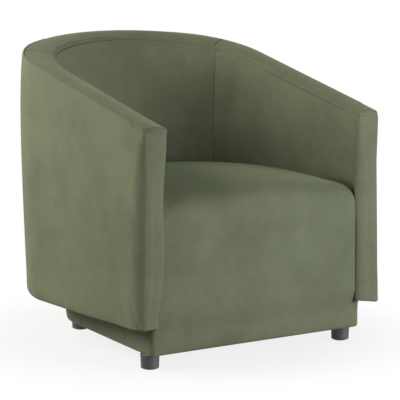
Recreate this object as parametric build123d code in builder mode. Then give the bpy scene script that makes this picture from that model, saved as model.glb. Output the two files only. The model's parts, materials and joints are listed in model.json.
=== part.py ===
# Barrel accent armchair: a padded horseshoe shell with sloping arms, a tight crowned seat,
# a recessed plinth and four short turned feet. Millimetres, +Z up, the chair faces -Y.
import os
from math import atan2, cos, degrees, radians, sin

from build123d import *

os.makedirs("parts", exist_ok=True)

# Shell, outside: the arms lean in and the back leans out towards the top
shell_half_width = 383.0
shell_front = -370.5
shell_back = 370.5
shell_corner = 160.0
shell_clearance = 112.0
shell_roll = 30.0
arm_lean = 22.0
back_lean = 56.0
corner_gain = 40.0
corner_turn = 62.0
arm_height = 602.0
back_height = 781.0

# Shell, layers from the outside in
outer_pad = 8.0
liner_board = 3.0
frame_rail = 22.0
back_strap = 2.0
inner_cover = 3.0

# Shell, inside face: upright below the seat line, then closing in and reclining to the rim
arm_wall = 81.0
back_wall = 100.0
hollow_seat_line = 424.0
hollow_waist_rise = 180.0
hollow_waist_recline = 46.0
hollow_waist_round = 250.0
hollow_rim_recline = 120.5
hollow_rim_round = 174.0
hollow_lean = 10.0

# Rim strip and arm fronts
strip_depth = 15.0
strip_round = 9.0
arm_front_pad = 26.0
arm_front_round = 18.0
arm_front_hem = 20.0
seam_angle = 47.0
outside_seam = 215.0

# Seat
seat_gap = 0.6
seat_front = -345.5
seat_crown_height = 447.0
seat_crown_radius = 2200.0
seat_side_round = 34.0
seat_front_round = 42.0
seat_cover_pad = 6.0
seat_rail = 22.0
seat_rail_top = 330.0
webbing_width = 60.0
webbing_thickness = 3.0
long_straps = 5
cross_straps = 4

# Base board, plinth and feet
board_thickness = 18.0
plinth_inset = 53.0
plinth_back = 266.5
plinth_corner = 160.0
plinth_taper = 9.9
plinth_bottom = 38.0
plinth_pad = 8.0
plinth_rail = 18.0
block_radius = 42.0
block_height = 36.0
dust_cover = 1.5
foot_inset = 28.0
foot_setback = 42.0
rear_foot_inset = 162.0
rear_foot_setback = 47.5
foot_top_radius = 24.0
foot_bottom_radius = 22.6
foot_edge = 2.5
glide_radius = 16.0
glide_height = 3.0
stud_radius = 4.0
stud_depth = 22.0

# Shell frame
post_width = 40.0
side_post_y = -5.5
back_post_x = 190.0
top_rail = 36.0
strap_width = 50.0
strap_low = 250.0
strap_pitch = 100.0
strap_count = 4
strap_clearance = 0.4

# Reach of cutting bodies beyond the chair
reach = 900.0
reach_up = 1200.0
open_front = 80.0

# Derived planes, widths and heights
hollow_half_width = shell_half_width - arm_wall
hollow_back = shell_back - back_lean - back_wall
plinth_half_width = shell_half_width - plinth_inset
rim_angle = degrees(atan2(back_height - arm_height, shell_back - shell_front))
rim_plane = Plane(
    origin=(0, shell_front, arm_height),
    x_dir=(1, 0, 0),
    z_dir=(0, -sin(radians(rim_angle)), cos(radians(rim_angle))),
)
seat_half_width = hollow_half_width - seat_gap
seat_back = hollow_back - seat_gap
strip_plane = rim_plane.offset(-strip_depth)
rail_plane = strip_plane.offset(-top_rail)
board_bottom = shell_clearance + outer_pad
board_top = board_bottom + board_thickness
wall_front = shell_front + arm_front_pad
plinth_front = seat_front + seat_cover_pad
plinth_top = board_bottom
dust_top = plinth_bottom + dust_cover
tall = back_height + shell_roll + outer_pad
foot_front = (plinth_half_width - foot_inset, plinth_front + foot_setback)
foot_rear = (plinth_half_width - rear_foot_inset, plinth_back - rear_foot_setback)


def horseshoe(half_width, front, back, corner):
    """Closed plan: straight sides, two round corners and a gently bowed back, all tangent."""
    turn = radians(corner_turn)
    bow = corner + (half_width - corner) / cos(turn)
    bow_y = back - bow
    corner_x = half_width - corner
    corner_y = bow_y + (bow - corner) * sin(turn)
    with BuildLine() as plan:
        Line((half_width, front), (half_width, corner_y))
        CenterArc((corner_x, corner_y), corner, 0, corner_turn)
        CenterArc((0, bow_y), bow, corner_turn, 180 - 2 * corner_turn)
        CenterArc((-corner_x, corner_y), corner, 180 - corner_turn, corner_turn)
        Line((-half_width, corner_y), (-half_width, front))
        Line((-half_width, front), (half_width, front))
    make_face(plan.edges())


def leaning_wall(inset, bottom, front):
    """The shell's outer body drawn in by inset, from its lower edge to above the rim."""
    with BuildPart() as body:
        for height in (bottom, tall):
            share = (height - shell_clearance) / (back_height - shell_clearance)
            with BuildSketch(Plane.XY.offset(height)):
                horseshoe(
                    shell_half_width - inset - arm_lean * share,
                    front,
                    shell_back - inset - back_lean * (1 - share),
                    shell_corner - inset + corner_gain * share,
                )
        loft()
    return body.part


def barrel(inset):
    """The leaning wall with its lower edge rolled under."""
    with BuildPart() as body:
        add(leaning_wall(inset, shell_clearance + inset, shell_front))
        rim = body.edges().group_by(Axis.Z)[0].filter_by(lambda e: e.center().Y > shell_front + 1)
        fillet(rim, shell_roll - inset)
    return body.part


def hollow(grow):
    """The sitting space: upright to the seat line, then closing in, with a reclined back."""
    half_width = hollow_half_width + grow
    back = hollow_back + grow
    front = shell_front - open_front
    levels = (
        (hollow_seat_line, half_width, back, half_width - 1),
        (
            hollow_seat_line + hollow_waist_rise,
            half_width - hollow_lean / 2,
            back + hollow_waist_recline,
            hollow_waist_round + grow,
        ),
        (tall, half_width - hollow_lean, back + hollow_rim_recline, hollow_rim_round + grow),
    )
    with BuildPart() as body:
        for height, width, depth, corner in levels:
            with BuildSketch(Plane.XY.offset(height)):
                horseshoe(width, front, depth, corner)
        loft()
        with BuildSketch(Plane.XY.offset(plinth_bottom)):
            horseshoe(half_width, front, back, half_width - 1)
        extrude(amount=hollow_seat_line - plinth_bottom)
    return body.part


def frame_hollow(grow):
    """Inner face of the shell's timber frame, parallel to the outside."""
    return leaning_wall(outer_pad + liner_board + frame_rail - grow, board_top, shell_front - open_front)


def block(x, y, z):
    """Upright cutting box between two corners given as (low, high) pairs."""
    with BuildPart() as body:
        with BuildSketch(Plane.XY.offset(z[0])):
            with Locations(((x[0] + x[1]) / 2, (y[0] + y[1]) / 2)):
                Rectangle(x[1] - x[0], y[1] - y[0])
        extrude(amount=z[1] - z[0])
    return body.part


def seat_body(inset):
    """The seat's D-shaped block with its crowned top and rolled edges."""
    with BuildPart() as body:
        with BuildSketch(Plane.XY.offset(board_top)):
            seat_corner = seat_half_width - 1 - inset
            horseshoe(seat_half_width - inset, seat_front + inset, seat_back - inset, seat_corner)
        extrude(amount=tall)
        with Locations((0, (seat_front + seat_back) / 2, seat_crown_height - seat_crown_radius)):
            Sphere(seat_crown_radius - inset, mode=Mode.INTERSECT)
        crown = body.faces().sort_by(Axis.Z)[-1].edges().sort_by(Axis.Y)
        fillet(crown[1:], seat_side_round - inset)
        brow = body.faces().sort_by(Axis.Y)[0].edges().filter_by(lambda e: e.center().Z > seat_rail_top)
        fillet([e for e in brow if abs(e.tangent_at(0.5).Z) < 0.9], seat_front_round - inset)
    return body.part


def plinth_plan(inset):
    """Plinth outline: straight front, sides that close in towards the round-cornered back."""
    turn = radians(plinth_taper)
    front = plinth_front + inset
    back = plinth_back - inset
    radius = plinth_corner - inset
    side_x = plinth_half_width - inset * cos(turn)
    side_y = plinth_front - inset * sin(turn)
    near = (front - side_y) / cos(turn)
    far = (back - radius + radius * sin(turn) - side_y) / cos(turn)
    corner = (side_x - near * sin(turn), front)
    start = (side_x - far * sin(turn), side_y + far * cos(turn))
    centre = (start[0] - radius * cos(turn), back - radius)
    with BuildLine() as plan:
        Line((-corner[0], corner[1]), corner)
        Line(corner, start)
        CenterArc(centre, radius, plinth_taper, 90 - plinth_taper)
        Line((centre[0], back), (-centre[0], back))
        CenterArc((-centre[0], centre[1]), radius, 90, 90 - plinth_taper)
        Line((-start[0], start[1]), (-corner[0], corner[1]))
    make_face(plan.edges())


def plinth_body(inset, low, high):
    with BuildPart() as body:
        with BuildSketch(Plane.XY.offset(low)):
            plinth_plan(inset)
        extrude(amount=high - low)
    return body.part


def back_wedge(angle):
    """Upright wedge that opens backwards from the middle of the seat."""
    apex = seat_back - seat_half_width
    with BuildPart() as body:
        with BuildSketch():
            with BuildLine():
                Polyline(
                    (0, apex),
                    (reach * cos(radians(angle)), apex + reach * sin(radians(angle))),
                    (-reach * cos(radians(angle)), apex + reach * sin(radians(angle))),
                    close=True,
                )
            make_face()
        extrude(amount=reach_up)
    return body.part


feet = [
    ("left", foot_front[0], foot_front[1], "front"),
    ("right", -foot_front[0], foot_front[1], "front"),
    ("left", foot_rear[0], foot_rear[1], "rear"),
    ("right", -foot_rear[0], foot_rear[1], "rear"),
]
foot_places = [(x, y) for side, x, y, row in feet]

# Bodies that the layers are cut from
outer_face = barrel(0)
liner_face = barrel(outer_pad)
frame_face = barrel(outer_pad + liner_board)
hollow_face = hollow(0)
foam_face = hollow(inner_cover)
strap_face = frame_hollow(-back_strap)
post_face = frame_hollow(0)
seat_face = seat_body(0)
seat_core = seat_body(seat_cover_pad)
wedge = back_wedge(seam_angle)
left_half = block((0, reach), (-reach, reach), (0, reach_up))
behind_front = block((-reach, reach), (wall_front, reach), (0, reach_up))
above_board = block((-reach, reach), (-reach, reach), (board_top, reach_up))


def save(built, name):
    built.part.label = name
    export_step(built.part, f"parts/{name}.step")


# Feet: tapered turned stubs with an eased lower edge, a stud up into the plinth and a glide
for side, x, y, row in feet:
    with BuildPart() as foot:
        with BuildSketch(Plane.XZ.offset(-y)):
            with BuildLine():
                Polyline(
                    (x, glide_height - 1),
                    (x + foot_bottom_radius, glide_height - 1),
                    (x + foot_top_radius, plinth_bottom),
                    (x, plinth_bottom),
                    close=True,
                )
            make_face()
        revolve(axis=Axis((x, y, 0), (0, 0, 1)))
        fillet(foot.edges().group_by(Axis.Z)[0], foot_edge)
        with BuildSketch(Plane.XY.offset(0)):
            with Locations((x, y)):
                Circle(glide_radius)
        extrude(amount=glide_height, mode=Mode.SUBTRACT)
        with BuildSketch(Plane.XY.offset(plinth_bottom - stud_depth)):
            with Locations((x, y)):
                Circle(stud_radius)
        extrude(amount=stud_depth, mode=Mode.SUBTRACT)
    save(foot, f"foot_{row}_{side}")

with BuildPart() as glides:
    with BuildSketch():
        with Locations(foot_places):
            Circle(glide_radius)
    extrude(amount=glide_height)
save(glides, "foot_glides")

with BuildPart() as studs:
    with BuildSketch(Plane.XY.offset(plinth_bottom - stud_depth)):
        with Locations(foot_places):
            Circle(stud_radius)
    extrude(amount=stud_depth + dust_cover + block_height)
save(studs, "foot_studs")

# Plinth: a ring of rails with corner blocks, wrapped in padded cloth, closed below
plinth_outer = plinth_body(plinth_pad, dust_top, plinth_top)
plinth_inner = plinth_body(plinth_pad + plinth_rail, dust_top, plinth_top)
rail_front_y = plinth_front + plinth_pad + plinth_rail
rail_back_y = plinth_back - plinth_corner
plinth_cuts = {
    "plinth_rail_front": block((-reach, reach), (-reach, rail_front_y), (0, reach)),
    "plinth_rail_left": block((0, reach), (rail_front_y, rail_back_y), (0, reach)),
    "plinth_rail_right": block((-reach, 0), (rail_front_y, rail_back_y), (0, reach)),
    "plinth_rail_back": block((-reach, reach), (rail_back_y, reach), (0, reach)),
}
for name, cut in plinth_cuts.items():
    with BuildPart() as rail:
        add(plinth_outer)
        add(plinth_inner, mode=Mode.SUBTRACT)
        add(cut, mode=Mode.INTERSECT)
        add(studs.part, mode=Mode.SUBTRACT)
    save(rail, name)

with BuildPart() as blocks:
    with BuildSketch(Plane.XY.offset(dust_top)):
        with Locations(foot_places):
            Circle(block_radius)
    extrude(amount=block_height)
    add(plinth_inner, mode=Mode.INTERSECT)
    add(studs.part, mode=Mode.SUBTRACT)
save(blocks, "plinth_blocks")

with BuildPart() as plinth_cover:
    add(plinth_body(0, plinth_bottom, shell_clearance))
    add(plinth_body(plinth_pad, 0, plinth_top), mode=Mode.SUBTRACT)
save(plinth_cover, "plinth_cover")

with BuildPart() as dust:
    add(plinth_body(plinth_pad, plinth_bottom, dust_top))
    add(studs.part, mode=Mode.SUBTRACT)
save(dust, "dust_cover")

# Base board: carries the shell's posts and the seat's rails, bolted down on the plinth
with BuildPart() as board:
    add(liner_face)
    add(block((-reach, reach), (plinth_front, reach), (board_bottom, board_top)), mode=Mode.INTERSECT)
save(board, "base_board")

# Seat: a D-shaped ring of rails, elastic webbing, one block of foam and the cover
seat_ring_low = board_top
with BuildPart() as seat_inside:
    with BuildSketch(Plane.XY.offset(seat_ring_low)):
        inner = seat_cover_pad + seat_rail
        seat_corner = seat_half_width - 1 - inner
        horseshoe(seat_half_width - inner, seat_front + inner, seat_back - inner, seat_corner)
    extrude(amount=seat_rail_top - seat_ring_low)
seat_arc_y = seat_back - seat_half_width
seat_rail_y = seat_front + seat_cover_pad + seat_rail
rail_z = (seat_ring_low, seat_rail_top)
seat_cuts = {
    "seat_rail_front": block((-reach, reach), (-reach, seat_rail_y), rail_z),
    "seat_rail_left": block((0, reach), (seat_rail_y, seat_arc_y), rail_z),
    "seat_rail_right": block((-reach, 0), (seat_rail_y, seat_arc_y), rail_z),
    "seat_rail_back": block((-reach, reach), (seat_arc_y, reach), rail_z),
}
for name, cut in seat_cuts.items():
    with BuildPart() as rail:
        add(seat_core)
        add(cut, mode=Mode.INTERSECT)
        add(seat_inside.part, mode=Mode.SUBTRACT)
    save(rail, name)

strap_bottom = seat_rail_top
seat_mid = (seat_front + seat_back) / 2
with BuildPart() as long_webbing:
    with BuildSketch(Plane.XY.offset(strap_bottom)):
        with GridLocations(2 * seat_half_width / (long_straps + 1), 1, long_straps, 1):
            Rectangle(webbing_width, 2 * reach)
    extrude(amount=webbing_thickness)
    add(seat_core, mode=Mode.INTERSECT)
save(long_webbing, "seat_webbing_long")

with BuildPart() as cross_webbing:
    with BuildSketch(Plane.XY.offset(strap_bottom + webbing_thickness)):
        with Locations((0, seat_mid)):
            with GridLocations(1, (seat_back - seat_front) / (cross_straps + 1), 1, cross_straps):
                Rectangle(2 * reach, webbing_width)
    extrude(amount=webbing_thickness)
    add(seat_core, mode=Mode.INTERSECT)
save(cross_webbing, "seat_webbing_cross")

foam_bottom = strap_bottom + 2 * webbing_thickness
with BuildPart() as seat_foam:
    add(seat_core)
    add(block((-reach, reach), (-reach, reach), (foam_bottom, reach)), mode=Mode.INTERSECT)
save(seat_foam, "seat_foam")

with BuildPart() as seat_cover:
    add(seat_face)
    add(seat_core, mode=Mode.SUBTRACT)
    panel_y = (seat_front, plinth_front)
    add(block((-plinth_half_width, plinth_half_width), panel_y, (plinth_bottom, shell_clearance)))
    add(block((-seat_half_width, seat_half_width), panel_y, (shell_clearance, board_top)))
save(seat_cover, "seat_cover")

# Shell frame: front and side posts, back posts and a sloping top rail under the rim
post_z = (board_top, reach_up)
post_cuts = {
    "arm_post_left": block((0, reach), (wall_front, wall_front + post_width), post_z),
    "side_post_left": block((0, reach), (side_post_y - post_width, side_post_y), post_z),
    "back_post_left": block((back_post_x, back_post_x + post_width), (0, reach), post_z),
}
for name, cut in post_cuts.items():
    with BuildPart() as post:
        add(frame_face)
        add(post_face, mode=Mode.SUBTRACT)
        add(cut, mode=Mode.INTERSECT)
        split(bisect_by=rail_plane, keep=Keep.BOTTOM)
    save(post, name)
    with BuildPart() as mirrored:
        mirror(post.part, about=Plane.YZ)
    save(mirrored, name.replace("left", "right"))

with BuildPart() as rim_rail:
    add(frame_face)
    add(post_face, mode=Mode.SUBTRACT)
    add(behind_front, mode=Mode.INTERSECT)
    add(above_board, mode=Mode.INTERSECT)
    split(bisect_by=strip_plane, keep=Keep.BOTTOM)
    split(bisect_by=rail_plane, keep=Keep.TOP)
rail_cuts = {
    "top_rail_left": block((0, reach), (-reach, side_post_y), (0, reach_up)),
    "top_rail_right": block((-reach, 0), (-reach, side_post_y), (0, reach_up)),
    "top_rail_back": block((-reach, reach), (side_post_y, reach), (0, reach_up)),
}
for name, cut in rail_cuts.items():
    with BuildPart() as rail:
        add(rim_rail.part)
        add(cut, mode=Mode.INTERSECT)
    save(rail, name)

with BuildPart() as liner:
    add(liner_face)
    add(frame_face, mode=Mode.SUBTRACT)
    add(behind_front, mode=Mode.INTERSECT)
    add(above_board, mode=Mode.INTERSECT)
    split(bisect_by=strip_plane, keep=Keep.BOTTOM)
save(liner, "shell_liner")

with BuildPart() as straps:
    add(post_face)
    add(frame_hollow(strap_clearance - back_strap), mode=Mode.SUBTRACT)
    with BuildSketch(Plane.XZ.offset(-side_post_y)):
        with Locations(*[(0, strap_low + index * strap_pitch) for index in range(strap_count)]):
            Rectangle(2 * back_post_x + post_width, strap_width)
    extrude(amount=-shell_back, mode=Mode.INTERSECT)
save(straps, "back_webbing")

# Shell upholstery, inside: foam on the frame and a cover in three sewn panels
inside_layers = {"foam": (strap_face, foam_face), "cover": (foam_face, hollow_face)}
for layer, (behind, facing) in inside_layers.items():
    with BuildPart() as lining:
        add(behind)
        add(facing, mode=Mode.SUBTRACT)
        add(behind_front, mode=Mode.INTERSECT)
        add(above_board, mode=Mode.INTERSECT)
        split(bisect_by=strip_plane, keep=Keep.BOTTOM)
    with BuildPart() as lining_back:
        add(lining.part)
        add(wedge, mode=Mode.INTERSECT)
    save(lining_back, f"inside_back_{layer}")
    with BuildPart() as lining_arm:
        add(lining.part)
        add(wedge, mode=Mode.SUBTRACT)
        add(left_half, mode=Mode.INTERSECT)
    save(lining_arm, f"inside_arm_{layer}_left")
    with BuildPart() as lining_mirror:
        mirror(lining_arm.part, about=Plane.YZ)
    save(lining_mirror, f"inside_arm_{layer}_right")

# Shell upholstery, outside: padded cloth that rolls under the shell to the plinth
with BuildPart() as outside:
    add(outer_face)
    add(liner_face, mode=Mode.SUBTRACT)
    add(behind_front, mode=Mode.INTERSECT)
    split(bisect_by=strip_plane, keep=Keep.BOTTOM)
    add(plinth_body(0, 0, board_bottom), mode=Mode.SUBTRACT)
    panel_room = (-plinth_half_width, plinth_half_width)
    add(block(panel_room, (-reach, plinth_front), (0, board_top)), mode=Mode.SUBTRACT)
rear_panel = block((-outside_seam, outside_seam), (0, reach), (0, reach_up))
with BuildPart() as outside_back:
    add(outside.part)
    add(rear_panel, mode=Mode.INTERSECT)
save(outside_back, "outside_back")
with BuildPart() as outside_arm:
    add(outside.part)
    add(rear_panel, mode=Mode.SUBTRACT)
    add(left_half, mode=Mode.INTERSECT)
save(outside_arm, "outside_arm_left")
with BuildPart() as outside_mirror:
    mirror(outside_arm.part, about=Plane.YZ)
save(outside_mirror, "outside_arm_right")

# Arm fronts: padded facings, round along both edges
with BuildPart() as arm_front:
    add(outer_face)
    add(hollow_face, mode=Mode.SUBTRACT)
    add(block((0, reach), (shell_front, wall_front), (shell_clearance, reach_up)), mode=Mode.INTERSECT)
    split(bisect_by=strip_plane, keep=Keep.BOTTOM)
    hem = arm_front.edges().filter_by(Axis.Y).group_by(Axis.X)[0].sort_by(Axis.Z)[0]
    fillet(hem, arm_front_hem)
    facing = arm_front.faces().sort_by(Axis.Y)[0].edges().sort_by(Axis.Z)
    fillet(facing[:-1], arm_front_round)
save(arm_front, "arm_front_left")
with BuildPart() as arm_front_mirror:
    mirror(arm_front.part, about=Plane.YZ)
save(arm_front_mirror, "arm_front_right")

# Rim strip: follows the sloping rim, rounded over on both edges, sewn from three lengths
with BuildPart() as strip:
    add(outer_face)
    add(hollow_face, mode=Mode.SUBTRACT)
    split(bisect_by=rim_plane, keep=Keep.BOTTOM)
    split(bisect_by=strip_plane, keep=Keep.TOP)
    for end in strip.faces().group_by(Axis.Y)[0]:
        corners = end.edges().sort_by(Axis.X)
        fillet([corners[0], corners[-1]], arm_front_round)
    crest = strip.faces().sort_by(Axis(rim_plane.origin, rim_plane.z_dir))[-1]
    fillet(crest.edges(), strip_round)
with BuildPart() as strip_back:
    add(strip.part)
    add(wedge, mode=Mode.INTERSECT)
save(strip_back, "rim_strip_back")
with BuildPart() as strip_arm:
    add(strip.part)
    add(wedge, mode=Mode.SUBTRACT)
    add(left_half, mode=Mode.INTERSECT)
save(strip_arm, "rim_strip_left")
with BuildPart() as strip_mirror:
    mirror(strip_arm.part, about=Plane.YZ)
save(strip_mirror, "rim_strip_right")
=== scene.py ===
# %% [markdown]
# This lesson dresses a barrel accent armchair. Its timber, boards, webbing and feet come from the solid
# model. Everything that is cloth over padding is made here: panels are laid on the same forms as the
# solids, plumped a little by a cloth simulation, and finished in olive velvet.

# %% Load the frame
import json
from bisect import bisect_left
from math import cos, exp, pi, radians, sin, sqrt, tan

import bmesh
import bpy
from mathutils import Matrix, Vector


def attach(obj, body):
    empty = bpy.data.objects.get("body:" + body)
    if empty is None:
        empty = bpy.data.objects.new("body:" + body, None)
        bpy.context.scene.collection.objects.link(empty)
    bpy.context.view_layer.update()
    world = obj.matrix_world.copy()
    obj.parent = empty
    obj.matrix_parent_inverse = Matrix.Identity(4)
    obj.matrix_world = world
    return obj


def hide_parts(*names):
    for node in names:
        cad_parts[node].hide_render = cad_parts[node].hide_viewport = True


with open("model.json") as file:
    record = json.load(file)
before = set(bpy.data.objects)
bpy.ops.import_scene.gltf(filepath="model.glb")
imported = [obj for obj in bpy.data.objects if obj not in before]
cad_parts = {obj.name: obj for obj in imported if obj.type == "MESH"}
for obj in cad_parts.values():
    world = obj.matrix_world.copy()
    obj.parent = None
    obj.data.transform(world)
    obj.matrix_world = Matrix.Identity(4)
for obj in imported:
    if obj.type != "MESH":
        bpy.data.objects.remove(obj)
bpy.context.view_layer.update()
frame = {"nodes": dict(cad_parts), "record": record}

# %% [markdown]
# The camera comes first, because every later choice is judged through it. A long lens far away keeps the
# chair's verticals nearly parallel, as in a catalogue picture. A short lens close by would spread the
# arm fronts.

# %% Camera
CAMERA_PLACE = (-3.544, -4.9695, 1.252)
CAMERA_LOOK = Vector((0.5816, 0.8005, -0.1449))

camera_data = bpy.data.cameras.new("catalogue_camera")
camera_data.lens, camera_data.sensor_width = 212.2, 36.0
camera = bpy.data.objects.new("catalogue_camera", camera_data)
camera.location = CAMERA_PLACE
camera.rotation_euler = CAMERA_LOOK.to_track_quat("-Z", "Y").to_euler()
bpy.context.scene.collection.objects.link(camera)
bpy.context.scene.camera = camera
print("camera", CAMERA_PLACE)

# %% [markdown]
# Back and arms of this chair are one padded wall, the shell. A sloping plane cuts it off at the top, and
# that cut is the rim. Two helpers blend numbers all through the lesson: mix goes straight from one number
# to another, and smooth eases a share in and out.

# %% Levels of the shell
SHELL_FRONT, SHELL_BACK = -0.3705, 0.3705
SHELL_BOTTOM = 0.112
ARM_TOP, BACK_TOP = 0.602, 0.781
RIM_SLOPE = (BACK_TOP - ARM_TOP) / (SHELL_BACK - SHELL_FRONT)
RIM_STEEP = sqrt(1 + RIM_SLOPE ** 2)


def rim_height(y):
    return ARM_TOP + RIM_SLOPE * (y - SHELL_FRONT)


def smooth(t):
    t = min(1.0, max(0.0, t))
    return t * t * (3 - 2 * t)


def mix(a, b, t):
    return a + (b - a) * t


for place, y in (("arm front", SHELL_FRONT), ("back", SHELL_BACK)):
    print("rim at the", place, round(rim_height(y), 3), "m")

# %% [markdown]
# Seen from above, each face of the wall is a horseshoe: straight arms, round corners and a gently bowed
# back. It could be drawn as a curve, but a function of a station is handier, because the same number then
# names the same place on both faces. The station runs from 0 at the right arm's front to 3 at the left
# arm's front, and between 1 and 2 it follows the turn of the wall.

# %% Plan of the shell
CORNER_TURN = radians(62)


def horseshoe(station, half, back, corner):
    bow = corner + (half - corner) / cos(CORNER_TURN)
    side_end = back - bow + (bow - corner) * sin(CORNER_TURN)
    if station < 1:
        return Vector((-half, mix(SHELL_FRONT, side_end, station), 0))
    if station > 2:
        return Vector((half, mix(side_end, SHELL_FRONT, station - 2), 0))
    turn = pi * (2 - station)
    if turn > pi - CORNER_TURN:
        return Vector((corner - half + corner * cos(turn), side_end + corner * sin(turn), 0))
    if turn < CORNER_TURN:
        return Vector((half - corner + corner * cos(turn), side_end + corner * sin(turn), 0))
    return Vector((bow * cos(turn), back - bow + bow * sin(turn), 0))


def from_arm_front(station):
    """The station counted from the nearer arm front."""
    return station if station < 1.5 else 3 - station


print("corners turn by", round(CORNER_TURN, 3), "before the back bows")

# %% [markdown]
# Outside, the arms lean in and the back leans out towards the top. Inside is the sitting hollow: its back
# reclines and its corners get tighter with height. Outside two levels are enough, and inside a smooth
# curve goes through three.

# %% Two faces of the shell
OUTSIDE_LOW = (0.383, 0.3145, 0.160)  # half the width, back and corner radius at the bottom
OUTSIDE_GROWTH = (-0.022, 0.056, 0.040)
HOLLOW_LEVELS = (0.424, 0.604, 0.819)
HOLLOW_HALF = (0.302, 0.297, 0.292)
HOLLOW_BACK = (0.2145, 0.2605, 0.3350)
HOLLOW_CORNER = (0.301, 0.250, 0.174)


def outer_face(station, z):
    share = (z - SHELL_BOTTOM) / (BACK_TOP - SHELL_BOTTOM)
    place = horseshoe(station, *(low + growth * share for low, growth in zip(OUTSIDE_LOW, OUTSIDE_GROWTH)))
    place.z = z
    return place


def through(values, z):
    """Smooth value at height z through the values at the hollow's three levels."""
    low, middle, high = HOLLOW_LEVELS
    a, b, c = values
    return (a * (z - middle) * (z - high) / ((low - middle) * (low - high))
            + b * (z - low) * (z - high) / ((middle - low) * (middle - high))
            + c * (z - low) * (z - middle) / ((high - low) * (high - middle)))


def inner_face(station, z):
    level = max(z, HOLLOW_LEVELS[0])
    sizes = (through(values, level) for values in (HOLLOW_HALF, HOLLOW_BACK, HOLLOW_CORNER))
    place = horseshoe(station, *sizes)
    place.z = z
    return place


print("wall at the arm front", round((outer_face(0, 0.5) - inner_face(0, 0.5)).length, 4), "m thick")

# %% [markdown]
# Cloth is cut by length, so three helpers walk along a face: down to a depth under the rim, on to the
# first station that passes a test, and on in even steps of length.

# %% Walk along a face
FIRST_HEIGHT, MIDDLE_HEIGHT = 0.7, 0.6
STATION_STEP = 0.001
MARKS = 200


def under_rim(face, station, drop):
    z = FIRST_HEIGHT
    for step in range(9):
        z = rim_height(face(station, z).y) - drop * RIM_STEEP
    return face(station, z)


def station_where(face, test, z):
    """First station at which the face passes a test."""
    station = 0.0
    while not test(face(station, z)):
        station += STATION_STEP
    return station


def even_stations(face, first, last, z=MIDDLE_HEIGHT):
    """A function from a share of the way to the station there, going by length along the face."""
    marks = [mix(first, last, i / MARKS) for i in range(MARKS + 1)]
    runs = [0.0]
    for a, b in zip(marks, marks[1:]):
        runs.append(runs[-1] + (face(b, z) - face(a, z)).length)

    def station(share):
        run = min(max(share, 0.0), 1.0) * runs[-1]
        index = max(0, bisect_left(runs, run) - 1)
        return mix(marks[index], marks[index + 1], (run - runs[index]) / (runs[index + 1] - runs[index]))

    return station, runs[-1]


print("shell is", round(even_stations(outer_face, 0, 3)[1], 3), "m round")

# %% [markdown]
# Every cloth panel starts as a flat grid, like a cut piece of velvet, and is laid on its form point by
# point. Near a sewn edge the cloth dives into the seam. The number of steps from the edge is kept on each
# point, because the simulation later holds the points at the seams.

# %% Lay a panel of cloth
SEAM_DEPTH, SEAM_REACH = 0.0016, 0.0032
SOFT_SEAM = 0.0007


def eased(t, share=0.75):
    """Evenly spaced numbers from 0 to 1, drawn closer together at both ends."""
    return mix(t, smooth(t), share)


def tuck(distance, depth=SEAM_DEPTH):
    """How far the cloth dives in at a distance from its sewn edge."""
    return depth * exp(-(distance / SEAM_REACH) ** 2)


def lay_panel(name, columns, rows, place):
    mesh = bpy.data.meshes.new(name)
    bm = bmesh.new()
    bmesh.ops.create_grid(bm, x_segments=columns, y_segments=rows, size=0.5)
    edge = bm.verts.layers.float.new("edge")
    for vert in bm.verts:
        u, v = vert.co.x + 0.5, vert.co.y + 0.5
        vert[edge] = min(u * columns, (1 - u) * columns, v * rows, (1 - v) * rows)
        vert.co = place(u, v)
    bm.to_mesh(mesh)
    bm.free()
    piece = bpy.data.objects.new(name, mesh)
    bpy.context.scene.collection.objects.link(piece)
    print(name, len(mesh.vertices), "points")
    return piece


print("a seam is", SEAM_DEPTH * 1000, "mm deep")

# %% [markdown]
# Outside, the cloth is sewn to the rim strip along the wall's upper edge, runs down, and rolls under the
# shell. One helper hangs cloth like that from any plan, so it serves the rear panel and the arms. It goes
# by length: round the upper edge, down the wall, round the lower edge and in underneath.

# %% Cloth that hangs from the rim
EDGE_ROUND = 0.005
NEARBY = 0.002


def hang(plan, along, v, ridge, brow, skip, bottom, roll, under, bulge, edge):
    """brow and roll are the radii of the upper and lower edge, skip what the strip takes of the first."""
    arc = brow * pi / 2
    straight = ridge - brow - bottom - roll
    run = skip + v * (arc + straight + roll * pi / 2 + under - skip)
    dive = tuck(run - skip) + tuck(edge)
    if run < arc:
        turn = run / brow
        z = ridge - brow * (1 - cos(turn)) - dive * cos(turn)
        out = brow * (sin(turn) - 1) - dive * sin(turn)
    elif run < arc + straight:
        down = run - arc
        z = ridge - brow - down
        out = bulge(down / straight) - dive
    elif run < arc + straight + roll * pi / 2:
        turn = (run - arc - straight) / roll
        z = bottom + roll - roll * sin(turn)
        out = bulge(1.0) + roll * (cos(turn) - 1) - tuck(edge)
    else:
        z = bottom
        out = bulge(1.0) + arc + straight + roll * (pi / 2 - 1) - run - tuck(edge)
    ahead = plan(along + NEARBY, z) - plan(along - NEARBY, z)
    return plan(along, z) + Vector((-ahead.y, ahead.x, 0)).normalized() * out


print("upper edge is round by", EDGE_ROUND * 1000, "mm")

# %% [markdown]
# On the real chair the padding stands fullest at the shell's rear corners. The lower edge is crisp near
# the arm fronts and a soft roll round the back. Both change along the wall, so both are functions of the
# station.

# %% Fullness and lower edge of the shell
SIDE_FULLNESS, CORNER_FULLNESS = 0.004, 0.0060
CRISP_ROLL, SOFT_ROLL = 0.004, 0.030
TURNED_UNDER = 0.03


def corner_bulge(station):
    full = SIDE_FULLNESS + CORNER_FULLNESS * exp(-((from_arm_front(station) - 1.1) / 0.3) ** 2)
    return lambda share: full * sin(pi * min(1, max(0, share)) ** 0.6)


def shell_roll(station):
    return mix(CRISP_ROLL, SOFT_ROLL, smooth((from_arm_front(station) - 0.35) / 0.9))


print("fullness at a corner", round(corner_bulge(1.1)(0.3) * 1000, 1), "mm")

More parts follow.
